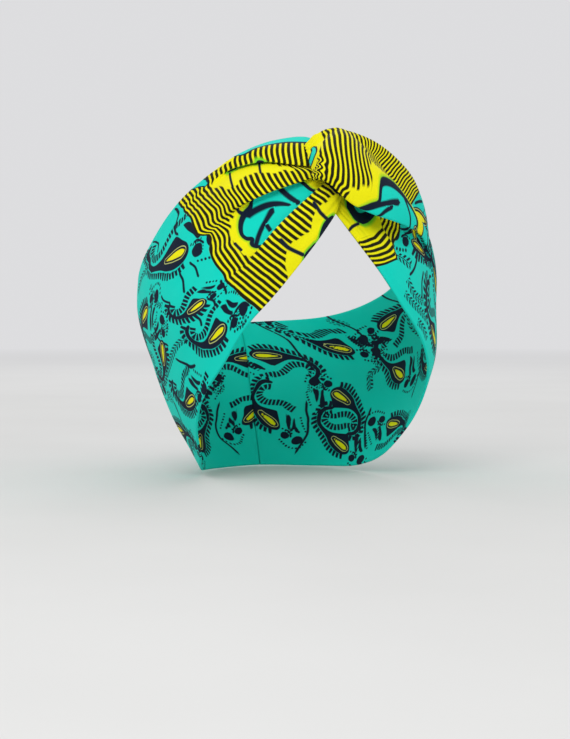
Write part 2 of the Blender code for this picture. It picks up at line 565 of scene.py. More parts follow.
@dataclass
class Trace:
    """Where the corners of each face lie along the curve nearest to the face."""

    which: np.ndarray
    offset: np.ndarray
    along: np.ndarray
    length: np.ndarray

    @staticmethod
    def of(curves: list[np.ndarray], middle: np.ndarray, corners: np.ndarray, reach: float) -> Trace:
        """Straightens the cloth round each curve.

        Args:
            curves: the curves' points.
            middle: flat middle of each face.
            corners: flat corners of each face, faces by corners by 2.
            reach: how far from a face its curve may be.

        Returns:
            Offsets to the left of the curve and distances along it.
        """
        count = len(middle)
        best = np.full(count, reach)
        trace = Trace(
            np.zeros(count, int), np.full((count, 4), FAR), np.full((count, 4), -1.0), np.ones(count)
        )
        for number, points in enumerate(curves):
            start = points[:-1]
            side = points[1:] - start
            long = np.linalg.norm(side, axis=-1)
            passed = np.concatenate([[0.0], np.cumsum(long)])
            low, high = points.min(0) - reach, points.max(0) + reach
            near = np.flatnonzero(((middle > low) & (middle < high)).all(-1))
            to = middle[near][:, None] - start
            share = np.clip((to * side).sum(-1) / long**2, 0, 1)
            gap = np.linalg.norm(to - share[..., None] * side, axis=-1)
            piece = gap.argmin(1)
            closer = gap.min(1) < best[near]
            faces, piece = near[closer], piece[closer]
            best[faces] = gap.min(1)[closer]
            ahead = (side / long[:, None])[piece][:, None]
            to_corner = corners[faces] - start[piece][:, None]
            trace.offset[faces] = ahead[..., 0] * to_corner[..., 1] - ahead[..., 1] * to_corner[..., 0]
            trace.along[faces] = passed[piece][:, None] + (to_corner * ahead).sum(-1)
            trace.which[faces] = number
            trace.length[faces] = passed[-1]
        return trace


@dataclass(frozen=True)
class Paisley:
    """The print's large drop, whose tail curls back over it, with its trims."""

    core: Patch = Patch((
        (-7.2, -1.5), (-5, 0.1), (-1, 1.2), (3, 1.7), (7.4, 2.2), (3, -0.2), (-1, -1.5), (-5, -2.4),
    ))
    body: Patch = Patch((
        (-10, -2), (-8.5, 0.6), (-6, 3), (-3.5, 6), (-1.5, 7.5), (2, 6.8), (6, 5.9), (10, 5.4),
        (14, 6.2), (18, 8.6), (20.4, 12), (20.8, 16), (19, 19), (15.6, 20.4), (16, 22), (20.5, 21.4),
        (23.4, 18), (23.6, 13), (21.5, 8.6), (17, 4.4), (12, 1), (8, -2), (2, -4.6), (-3, -5.6),
        (-7, -5.4), (-9.6, -4),
    ))
    leaves: tuple[Patch, ...] = (
        Patch(((-22.5, 0.6), (-18.5, 3.4), (-15, 7), (-12.2, 9.4), (-14, 5.4), (-17, 1.6),
               (-20, -0.2))),
        Patch(((-17.5, -1), (-14.6, 2.6), (-12, 7), (-7.4, 9.4), (-9.6, 5), (-13, 1.2), (-15.4, -1.2))),
        Patch(((-27.5, -3.4), (-24.6, -1.4), (-21.4, -2.6), (-20.8, -5.8), (-23, -8), (-26.4, -6.8))),
        Patch(((-18, -4.6), (-14.6, -3), (-12, -4.6), (-13.4, -7.4), (-17, -7.6))),
    )
    trims: tuple[Trim, ...] = (
        Trim(Edging.TICKS, ((18, 23.6), (22.6, 22.8), (25.4, 18.4), (25.4, 12.6), (22.8, 7.2), (18.4, 2.8),
                            (13.2, -0.8), (8.8, -3.8), (3, -6.4), (-3, -7.4), (-9, -6.6))),
        Trim(Edging.BLOCKS, ((14.5, 18.4), (17.4, 16.6), (18.4, 14), (17, 11.4), (13.5, 9.5), (9.5, 9.2),
                             (5.6, 10.6), (2.4, 12.2), (-2, 13.4), (-7, 12.9), (-12, 13.4)), 2.5),
        Trim(Edging.DOTS, ((-25.4, 2.4), (-20, 7.4), (-15.6, 11.4)), 2.2),
        Trim(Edging.DOTS, ((-29.6, -2), (-28.6, -8.4), (-23, -11), (-17, -10.2), (-11.4, -8.4)), 2.4),
        Trim(Edging.DOTS, ((-11, -1), (-12.6, -2.2), (-19, -2.4)), 2.2),
    )
    lines: tuple[Line, ...] = (
        Line(((-19.4, -5), (-16, -2), (-13, -1.6)), 0.6),
    )


PAISLEY = Paisley()


@dataclass(frozen=True)
class Stripes:
    """The striped field: where some of its bars lie, per distance across."""

    counts: tuple[float, ...]
    rows: tuple[tuple[float, ...], ...]
    ruffle_at: Point = (0.0, 0.0)
    ruffle: float = 0.0
    ruffle_reach: Point = (4.5, 5.0)
    ruffle_waves: Point = (0.4, 1.9)
    pleat: Patch | None = None
    pleat_shift: float = 0.0

    def count(self, flat: np.ndarray) -> np.ndarray:
        """Count of bars at each point, a whole number in the middle of each.

        Args:
            flat: points on the flat cloth, columns by rows by 2, rows alike.

        Returns:
            A count for each point.
        """
        table = np.array(self.rows, float)
        across = np.clip(flat[0, :, 1], table[0, 0], table[-1, 0])
        marks = np.stack([spline(table[:, 0], bars, across) for bars in table[:, 1:].T], -1)
        found = np.empty(flat.shape[:-1])
        counts = np.array(self.counts, float)
        shift = np.zeros(flat.shape[:-1])
        if self.pleat:
            shift = np.where(self.pleat.distance(flat) < 0, self.pleat_shift, 0.0)
        for row, bars in enumerate(marks):
            along = flat[:, row, 0] + shift[:, row]
            inner = np.interp(along, bars, counts)
            before = (along - bars[0]) * (counts[1] - counts[0]) / (bars[1] - bars[0])
            after = (along - bars[-1]) * (counts[-1] - counts[-2]) / (bars[-1] - bars[-2])
            found[:, row] = inner + np.minimum(before, 0) + np.maximum(after, 0)
        gap = (flat - np.array(self.ruffle_at)) / np.array(self.ruffle_reach)
        near = np.exp(-(gap**2).sum(-1))
        waves = flat[..., 1] * self.ruffle_waves[1] + flat[..., 0] * self.ruffle_waves[0]
        return found + self.ruffle * near * np.sin(waves)


@dataclass(frozen=True)
class Chart:
    """The print of one band, laid out on the flat cloth."""

    stripes: Stripes
    edges: tuple[Point, ...]
    plains: tuple[Patch, ...]
    leaves: tuple[Patch, ...]
    darks: tuple[Patch, ...]
    teals: tuple[Patch, ...]
    paisleys: tuple[Spot, ...]
    drops: tuple[Spot, ...]
    lines: tuple[Line, ...]
    trims: tuple[Trim, ...]
    blooms: tuple[Spot, ...]

    def edge(self, flat: np.ndarray) -> np.ndarray:
        """Distance past the striped field's edge.

        Args:
            flat: points on the flat cloth, any shape by 2.

        Returns:
            Millimetres, less than 0 inside the field, FAR at most.
        """
        table = np.array(self.edges)
        across = np.clip(flat[..., 1], table[0, 0], table[-1, 0])
        return np.clip(flat[..., 0] - spline(table[:, 0], table[:, 1], across), -FAR, FAR)

    def numbers(self, flat: np.ndarray) -> dict[str, np.ndarray]:
        """What the material reads at each point: counts and distances.

        Args:
            flat: points on the flat cloth, columns by rows by 2.

        Returns:
            Named values for each point.
        """
        places = self.paisleys
        bodies = tuple(PAISLEY.body.at(spot) for spot in places)
        bodies += tuple(leaf.at(spot) for spot in places for leaf in PAISLEY.leaves)
        shapes = {
            "plain": self.plains,
            "leaf": self.leaves,
            "dark": self.darks,
            "body": bodies,
            "core": tuple(PAISLEY.core.at(spot) for spot in places + self.drops),
            "teal": self.teals,
        }
        found = {"stripe": self.stripes.count(flat) + 0.5, "edge": self.edge(flat)}
        for name, patches in shapes.items():
            away = [np.full(flat.shape[:-1], FAR)] + [patch.distance(flat) for patch in patches]
            found[name] = np.min(away, 0)
        return found

    def all_lines(self) -> tuple[Line, ...]:
        """Its own lines and those of its paisleys."""
        return self.lines + tuple(line.at(s) for s in self.paisleys for line in PAISLEY.lines)

    def all_trims(self) -> tuple[Trim, ...]:
        """Its own trims and those of its paisleys."""
        return self.trims + tuple(trim.at(s) for s in self.paisleys for trim in PAISLEY.trims)


def local_of(spots: tuple[Spot, ...], middle: np.ndarray, corners: np.ndarray) -> np.ndarray:
    """Corner coordinates in the frame of the spot nearest to each face.

    Args:
        spots: the motif's places.
        middle: flat middle of each face, faces by 2.
        corners: flat corners of each face, faces by corners by 2.

    Returns:
        Coordinates in motif sizes, faces by corners by 2.
    """
    at = np.array([(s.along, s.across) for s in spots])
    size = np.array([s.size for s in spots])
    angle = np.radians([s.turn for s in spots])
    gaps = np.linalg.norm(middle[:, None] - at[None], axis=-1) / size[None]
    near = gaps.argmin(1)
    d = corners - at[near][:, None]
    cos, sin = np.cos(angle[near])[:, None], np.sin(angle[near])[:, None]
    x = (d[..., 0] * cos + d[..., 1] * sin) / size[near][:, None]
    y = (-d[..., 0] * sin + d[..., 1] * cos) / size[near][:, None]
    return np.stack([x, y], -1)


class Value:
    """A socket that takes part in Python expressions."""

    def __init__(self, nodes: Nodes, socket: Any) -> None:
        """Wraps a socket of a node tree."""
        self.nodes = nodes
        self.socket = socket

    def _math(self, operation: str, *others: Any) -> Value:
        """A Math node on this value and others."""
        inputs = {index + 1: other for index, other in enumerate(others)}
        return self.nodes.add("ShaderNodeMath", {"operation": operation}, {0: self, **inputs})

    def __add__(self, other: Any) -> Value:
        """Sum."""
        return self._math("ADD", other)

    def __sub__(self, other: Any) -> Value:
        """Difference."""
        return self._math("SUBTRACT", other)

    def __mul__(self, other: Any) -> Value:
        """Product."""
        return self._math("MULTIPLY", other)

    def __rsub__(self, other: float) -> Value:
        """Difference from a number."""
        return self.nodes.add("ShaderNodeMath", {"operation": "SUBTRACT"}, {0: other, 1: self})

    def __abs__(self) -> Value:
        """Size without sign."""
        return self._math("ABSOLUTE")

    def __gt__(self, other: Any) -> Value:
        """1 where above the other."""
        return self._math("GREATER_THAN", other)

    def __lt__(self, other: Any) -> Value:
        """1 where below the other."""
        return self._math("LESS_THAN", other)

    __radd__ = __add__
    __rmul__ = __mul__

    def at_most(self, other: Any) -> Value:
        """The smaller of the two."""
        return self._math("MINIMUM", other)

    def at_least(self, other: Any) -> Value:
        """The larger of the two."""
        return self._math("MAXIMUM", other)

    def floor(self) -> Value:
        """Whole part."""
        return self._math("FLOOR")

    def fraction(self) -> Value:
        """Part after the point, from 0 to 1."""
        return self - self.floor()

    def root(self) -> Value:
        """Square root."""
        return self._math("SQRT")

    def sine(self) -> Value:
        """Sine."""
        return self._math("SINE")

    def angle_to(self, other: Value) -> Value:
        """Angle whose tangent is this over the other."""
        return self._math("ARCTAN2", other)

    def step(self, low: float, high: float) -> Value:
        """Straight step, clamped at both ends.

        Args:
            low: where it is 0.
            high: where it is 1, which may be below low.

        Returns:
            The step's value.
        """
        return self.nodes.add(
            "ShaderNodeMapRange",
            {"clamp": True},
            {"Value": self, "From Min": low, "From Max": high, "To Min": 0.0, "To Max": 1.0},
        )

    def inside(self, soft: float) -> Value:
        """1 where below 0, with an edge as wide as soft."""
        return self.step(soft / 2, -soft / 2)


class Nodes:
    """The node tree of one material."""

    def __init__(self, material: Any) -> None:
        """Takes over a material's tree.

        Args:
            material: the material, which gets nodes.
        """
        material.use_nodes = True
        self.tree = material.node_tree
        self.shader = self.tree.nodes["Principled BSDF"]

    def add(self, kind: str, settings: dict[str, Any], inputs: dict[Any, Any], out: Any = 0) -> Value:
        """Adds one node.

        Args:
            kind: the node's type.
            settings: its own settings, set first.
            inputs: values or links of its sockets, by name or number.
            out: the output to return, by name or number.

        Returns:
            The output, for more expressions.
        """
        node = self.tree.nodes.new(kind)
        for name, setting in settings.items():
            setattr(node, name, setting)
        for key, given in inputs.items():
            self.feed(node.inputs[key], given)
        return Value(self, node.outputs[out])

    def feed(self, socket: Any, given: Any) -> None:
        """Links a value to a socket, or sets it.

        Args:
            socket: the input.
            given: a Value to link, or a plain number or colour.
        """
        if isinstance(given, Value):
            self.tree.links.new(given.socket, socket)
        else:
            socket.default_value = given

    def blend(self, share: Any, under: Any, over: Any) -> Value:
        """Mixes two colours.

        Args:
            share: 0 for under, 1 for over.
            under: the first colour.
            over: the second colour.

        Returns:
            The mixed colour.
        """
        return self.add(
            "ShaderNodeMix", {"data_type": "RGBA"}, {0: share, 6: under, 7: over}, out=2
        )

    def attribute(self, name: str) -> Value:
        """A number stored on the mesh."""
        return self.add("ShaderNodeAttribute", {"attribute_name": name}, {}, out="Fac")

    def uv(self, name: str) -> Value:
        """A UV map of the mesh."""
        return self.add("ShaderNodeUVMap", {"uv_map": name}, {}, out="UV")

    def parts(self, vector: Value) -> tuple[Value, Value]:
        """First two parts of a vector."""
        split = self.add("ShaderNodeSeparateXYZ", {}, {0: vector})
        return split, Value(self, split.socket.node.outputs[1])

    def noise(self, vector: Value, scale: float, detail: float = 2.0) -> Value:
        """Soft noise.

        Args:
            vector: where it is read.
            scale: its scale.
            detail: how many finer layers it has.

        Returns:
            A value between 0 and 1.
        """
        return self.add(
            "ShaderNodeTexNoise", {}, {"Vector": vector, "Scale": scale, "Detail": detail}, out="Fac"
        )

    def chance(self, number: Value) -> Value:
        """A steady random number for each whole number."""
        return self.add("ShaderNodeTexWhiteNoise", {"noise_dimensions": "1D"}, {"W": number})


def rgba(red: float, green: float, blue: float) -> tuple[float, float, float, float]:
    """Linear colour from a screen colour.

    Args:
        red: from 0 to 255.
        green: from 0 to 255.
        blue: from 0 to 255.

    Returns:
        Red, green, blue and alpha.
    """
    def linear(part: float) -> float:
        """One part, made linear."""
        share = part / 255
        return share / 12.92 if share <= 0.04045 else ((share + 0.055) / 1.055) ** 2.4
    return linear(red), linear(green), linear(blue), 1.0


@dataclass(frozen=True)
class RowMarks:
    """Sizes of the marks in rows: across in millimetres, along in shares of a pitch."""

    tick_lean: float = 0.10
    tick_taper: float = 0.05
    tick_half: float = 0.35
    tick_reach: float = 1.6
    tick_swing: float = 0.4
    block_half: float = 0.36
    block_reach: float = 1.9
    block_swing: float = 0.5
    dot_stretch: float = 6.2
    dot_radius: float = 0.65
    dot_swing: float = 0.2
    leaflet_sweep: float = 0.32
    leaflet_half: float = 0.27
    leaflet_from: float = 0.45
    leaflet_reach: float = 2.4
    stalk_half: float = 0.22


@dataclass(frozen=True)
class BloomMarks:
    """Sizes of the flower, in shares of its radius."""

    petals: float = 6.0
    petal_ring: float = 0.40
    petal_radius: float = 0.13
    dots: float = 15.0
    dot_ring: float = 0.82
    dot_radius: float = 0.085
    ring: float = 0.66
    ring_half: float = 0.03
    middle: float = 0.12


@dataclass(frozen=True)
class PrintedKnit:
    """Fine cotton jersey with a bright roller print."""

    teal: tuple[float, ...] = rgba(0, 212, 192)
    yellow: tuple[float, ...] = rgba(238, 232, 0)
    black: tuple[float, ...] = rgba(20, 20, 0)
    navy: tuple[float, ...] = rgba(2, 20, 44)
    green: tuple[float, ...] = rgba(118, 208, 32)
    pale: tuple[float, ...] = rgba(205, 214, 130)
    roughness: float = 0.72
    sheen: float = 0.015
    knit_pitch: float = 0.00062
    outline: float = 1.0
    bar_share: float = 0.29
    bar_swing: float = 1.6
    bar_reach: float = 0.4
    edge_bar_at: float = 0.7
    edge_bar_half: float = 0.75
    patch_outline: float = 0.9
    core_body: float = 2.0
    core_ring_at: float = 1.15
    core_ring_half: float = 0.18
    halo: float = 1.5
    blur: float = 0.35
    faded: tuple[float, ...] = rgba(225, 232, 205)
    fade: float = 0.012
    rows: RowMarks = RowMarks()
    flower: BloomMarks = BloomMarks()

    def line(self, nodes: Nodes) -> Value:
        """Thin lines with tapered ends, from the map that straightens them.

        Args:
            nodes: the material's tree.

        Returns:
            1 on a line.
        """
        offset, share = nodes.parts(nodes.uv("Line"))
        taper = (share * (1.0 - share) * 16.0).at_most(1.0).at_least(0.0)
        return (abs(offset) - taper).inside(0.6) * (share > 0.0) * (share < 1.0)

    def trim(self, nodes: Nodes) -> Value:
        """Rows of ticks, blocks, dots and fern leaflets along curves.

        Args:
            nodes: the material's tree.

        Returns:
            1 on a mark.
        """
        offset, count = nodes.parts(nodes.uv("Trim"))
        kind = nodes.attribute("edging")
        in_row = (count > 0.0) * (count < nodes.attribute("marks"))
        cell = count.fraction() - 0.5
        size = nodes.chance(count.floor())
        away = abs(offset)
        slanted = (count - offset * self.rows.tick_lean).fraction() - 0.5
        ticks = (abs(slanted) + offset * self.rows.tick_taper - self.rows.tick_half).inside(0.14)
        ticks = ticks * (away - size * self.rows.tick_swing - self.rows.tick_reach).inside(0.4)
        blocks = (abs(cell) - self.rows.block_half).inside(0.14)
        blocks = blocks * (away - size * self.rows.block_swing - self.rows.block_reach).inside(0.5)
        radius = (cell * cell * self.rows.dot_stretch + offset * offset).root()
        dots = (radius - size * self.rows.dot_swing - self.rows.dot_radius).inside(self.blur)
        swept = (count - away * self.rows.leaflet_sweep).fraction() - 0.5
        leaflets = (abs(swept) - self.rows.leaflet_half).inside(0.2)
        leaflets = leaflets * (away > self.rows.leaflet_from)
        leaflets = leaflets * (away - self.rows.leaflet_reach).inside(0.5)
        fern = leaflets.at_least((away - self.rows.stalk_half).inside(0.2))
        marks = self._pick(kind, (ticks, blocks, dots, fern))
        return marks * in_row

    @staticmethod
    def _pick(kind: Value, choices: tuple[Value, ...]) -> Value:
        """Picks one of a few values.

        Args:
            kind: the number of the choice.
            choices: the values.

        Returns:
            The choice whose number is kind.
        """
        picked = choices[0] * (kind < 0.5)
        for number, choice in enumerate(choices[1:], start=1):
            picked = picked + choice * (kind > number - 0.5) * (kind < number + 0.5)
        return picked

    def bloom(self, nodes: Nodes) -> Value:
        """A flower with round petals in a ring of dots.

        Args:
            nodes: the material's tree.

        Returns:
            1 on the flower.
        """
        x, y = nodes.parts(nodes.uv("Bloom"))
        radius = (x * x + y * y).root()
        around = y.angle_to(x) * (1 / FULL_TURN)
        petal = (around * self.flower.petals).fraction() - 0.5
        past_petal = radius - self.flower.petal_ring
        petals = (past_petal * past_petal * 1.2 + petal * petal * 0.13).root()
        dot = (around * self.flower.dots).fraction() - 0.5
        past_dot = radius - self.flower.dot_ring
        dots = (past_dot * past_dot + dot * dot * 0.11).root()
        ring = abs(radius - self.flower.ring) - self.flower.ring_half
        marks = (petals - self.flower.petal_radius).inside(0.06)
        marks = marks.at_least((dots - self.flower.dot_radius).inside(0.06))
        marks = marks.at_least(ring.inside(0.05))
        return marks.at_least((radius - self.flower.middle).inside(0.05))

    def colour(self, nodes: Nodes) -> Value:
        """Lays the whole print in its order, ground first.

        Args:
            nodes: the material's tree.

        Returns:
            The colour of the cloth.
        """
        blur = self.blur
        edge = nodes.attribute("edge")
        striped_field = edge.inside(blur)
        dark = nodes.attribute("dark")
        core = nodes.attribute("core")
        leaf = nodes.attribute("leaf")
        teal = nodes.attribute("teal")
        count = nodes.attribute("stripe")
        swing = nodes.chance(count.floor())
        bar = (abs(count.fraction() - 0.5) - self.bar_share).inside(0.12)
        tip = nodes.attribute("plain") + swing * -self.bar_swing + self.bar_reach
        comb = bar * tip.step(-blur, blur)
        striped = nodes.blend(comb, self.yellow, self.black)
        halo = (dark.at_most(leaf) - self.halo).inside(1.6)
        striped = nodes.blend(halo, striped, self.green)
        edge_bar = (abs(edge + self.edge_bar_at) - self.edge_bar_half).inside(blur)
        striped = nodes.blend(edge_bar, striped, self.black)
        striped = nodes.blend((teal - self.patch_outline).inside(blur), striped, self.navy)
        striped = nodes.blend((teal + 0.2).inside(blur), striped, self.teal)
        ground = nodes.blend(nodes.attribute("body").inside(blur), self.teal, self.navy)
        colour = nodes.blend(striped_field, ground, striped)
        colour = nodes.blend(dark.inside(blur), colour, self.navy)
        colour = nodes.blend((leaf - self.outline).inside(blur), colour, self.navy)
        colour = nodes.blend((leaf + self.outline).inside(blur), colour, self.teal)
        marks = self.trim(nodes).at_least(self.bloom(nodes)) * (1.0 - striped_field)
        marks = marks.at_least(self.line(nodes))
        colour = nodes.blend(marks, colour, self.navy)
        colour = nodes.blend((core - self.core_body).inside(0.3), colour, self.navy)
        ring = (abs(core - self.core_ring_at) - self.core_ring_half).inside(0.3)
        colour = nodes.blend(ring, colour, self.pale)
        return nodes.blend((core + 0.1).inside(blur), colour, self.yellow)

    def make(self, name: str) -> Any:
        """The material.

        Args:
            name: its name.

        Returns:
            A new material with its nodes.
        """
        material = bpy.data.materials.new(name)
        nodes = Nodes(material)
        flat = nodes.uv("Cloth")
        fade = nodes.noise(flat, 55.0, 3.0).step(0.2, 0.8)
        colour = nodes.blend(fade * self.fade, self.colour(nodes), self.faded)
        along, across = nodes.parts(flat)
        turns = FULL_TURN / self.knit_pitch
        rib = (along * turns).sine() * (across * turns * 0.8).sine()
        fuzz = nodes.noise(flat, 2600.0, 2.0)
        relief = rib * 0.5 + fuzz * 0.8
        surface = {"Strength": 0.35, "Distance": 0.12 * MM, "Height": relief}
        bump = nodes.add("ShaderNodeBump", {}, surface, out="Normal")
        nodes.feed(nodes.shader.inputs["Base Color"], colour)
        nodes.feed(nodes.shader.inputs["Roughness"], fade * 0.10 + (self.roughness - 0.05))
        nodes.feed(nodes.shader.inputs["Normal"], bump)
        nodes.shader.inputs["Sheen Weight"].default_value = self.sheen
        nodes.shader.inputs["Sheen Roughness"].default_value = 0.5
        nodes.shader.inputs["Specular IOR Level"].default_value = 0.1
        return material


# Run from the back seam to the knot, then turn and height of the hem and of the top edge.
SIDE_SECTIONS = (
    Section(0.00, 180, -60, 180, 26),
    Section(0.17, 140, -60, 142, 30),
    Section(0.33, 107, -57, 116, 42),
    Section(0.45, 86, -48, 100, 56),
    Section(0.55, 74, -32, 88, 69),
    Section(0.64, 62, -14, 78, 84),
    Section(0.73, 48.5, 3.5, 68, 97),
    Section(0.82, 34, 26, 57, 108),
    Section(0.89, 24, 40.6, 45, 117.5),
    Section(0.95, 13, 60, 27, 123.8),
)


@dataclass
class Band:
    """One printed knit band, worn."""

    name: str
    node: str
    loft: Loft
    chart: Chart
    creases: Creases
    knit: PrintedKnit
    rests_on: tuple[str, ...] = ()
    wall: float = 1.2
    line_reach: float = 2.0
    trim_reach: float = 3.6
    flat_width: float = 0.125
    flat_length: float = 0.29
    fork_run: float | None = None
    under_arm_end_run: float = 1.045
    slit_after: str = "pocket"

    def _left_out(self, runs: np.ndarray, column: int, row: int) -> bool:
        """Whether a cell of the grid is open: in the slit, or past the lower arm.

        Args:
            runs: the runs of the columns.
            column: the cell's first column.
            row: its first row.

        Returns:
            True where no cloth is.
        """
        if self.fork_run is None:
            return False
        first = self.loft.row_of(self.slit_after)
        run = runs[column]
        in_slit = first <= row < first + self.loft.rows_per_fold
        past_arm = row < first and run > self.under_arm_end_run
        return (in_slit and run > self.fork_run) or past_arm

    def _mesh(self, points: np.ndarray, runs: np.ndarray) -> tuple[Any, np.ndarray]:
        """Makes the sheet's mesh.

        Args:
            points: points in millimetres, columns by rows by 3.
            runs: the runs of the columns.

        Returns:
            The mesh, and the column and row of each of its vertices.
        """
        columns, rows = points.shape[0] - 1, points.shape[1] - 1
        sheet = bmesh.new()
        column_tag = sheet.verts.layers.int.new("column")
        row_tag = sheet.verts.layers.int.new("row")
        bmesh.ops.create_grid(sheet, x_segments=columns, y_segments=rows, size=0.5)
        for vert in sheet.verts:
            vert[column_tag] = round((vert.co.x + 0.5) * columns)
            vert[row_tag] = round((vert.co.y + 0.5) * rows)
            vert.co = Vector(points[vert[column_tag], vert[row_tag]] * MM)
        open_cells = []
        for face in sheet.faces:
            face.smooth = True
            column = min(vert[column_tag] for vert in face.verts)
            row = min(vert[row_tag] for vert in face.verts)
            if self._left_out(runs, column, row):
                open_cells.append(face)
        bmesh.ops.delete(sheet, geom=open_cells, context="FACES")
        if self.loft.side is Side.LEFT:
            bmesh.ops.reverse_faces(sheet, faces=sheet.faces)
        tags = np.array([(v[column_tag], v[row_tag]) for v in sheet.verts])
        mesh = bpy.data.meshes.new(self.name)
        sheet.to_mesh(mesh)
        sheet.free()
        return mesh, tags

    def _dress(self, mesh: Any, tags: np.ndarray, cloth: ClothMap) -> None:
        """Stores the print's numbers and maps on the mesh.

        Args:
            mesh: the sheet's mesh.
            tags: the column and row of each vertex.
            cloth: the sheet's flat coordinates.
        """
        flat = np.stack([cloth.along, cloth.across], -1)
        for name, values in self.chart.numbers(flat).items():
            layer = mesh.attributes.new(name, "FLOAT", "POINT")
            layer.data.foreach_set("value", values[tags[:, 0], tags[:, 1]].astype(np.float32))
        corner_verts = np.zeros(len(mesh.loops), int)
        mesh.loops.foreach_get("vertex_index", corner_verts)
        corners = flat[tags[:, 0], tags[:, 1]][corner_verts].reshape(-1, 4, 2)
        middle = corners.mean(1)
        lines, trims = self.chart.all_lines(), self.chart.all_trims()
        drawn = Trace.of([curve(line.points) for line in lines], middle, corners, self.line_reach)
        widths = np.array([line.half_width for line in lines])[drawn.which][:, None]
        rows = Trace.of([curve(trim.points) for trim in trims], middle, corners, self.trim_reach)
        pitches = np.array([trim.pitch for trim in trims])[rows.which]
        maps = {
            "Cloth": corners * MM,
            "Line": np.stack([drawn.offset / widths, drawn.along / drawn.length[:, None]], -1),
            "Trim": np.stack([rows.offset, rows.along / pitches[:, None]], -1),
            "Bloom": local_of(self.chart.blooms, middle, corners),
        }
        for name, values in maps.items():
            layer = mesh.uv_layers.new(name=name)
            layer.uv.foreach_set("vector", values.reshape(-1).astype(np.float32))
        per_face = {
            "edging": np.array([trim.edging.value for trim in trims])[rows.which],
            "marks": np.floor(rows.length / pitches),
        }
        for name, values in per_face.items():
            layer = mesh.attributes.new(name, "FLOAT", "FACE")
            layer.data.foreach_set("value", values.astype(np.float32))

    def build(self) -> Any:
        """Makes the band and hands it to the frame.

        Returns:
            The band's object.
        """
        points = self.loft.grid()
        runs = self.loft.runs()
        cloth = ClothMap.of(points, runs)
        points = points + outward_of(points, self.loft.side) * self.creases.relief(cloth)[..., None]
        mesh, tags = self._mesh(points, runs)
        self._dress(mesh, tags, cloth)
        mesh.materials.append(self.knit.make(self.name))
        band = bpy.data.objects.new(self.name, mesh)
        bpy.context.scene.collection.objects.link(band)
        wall = band.modifiers.new("wall", "SOLIDIFY")
        wall.thickness = self.wall * MM
        wall.offset = -1
        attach(band, "root")
        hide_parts(self.node)
        LOG.info("%s: %d faces on the sheet", self.name, len(mesh.polygons))
        return band


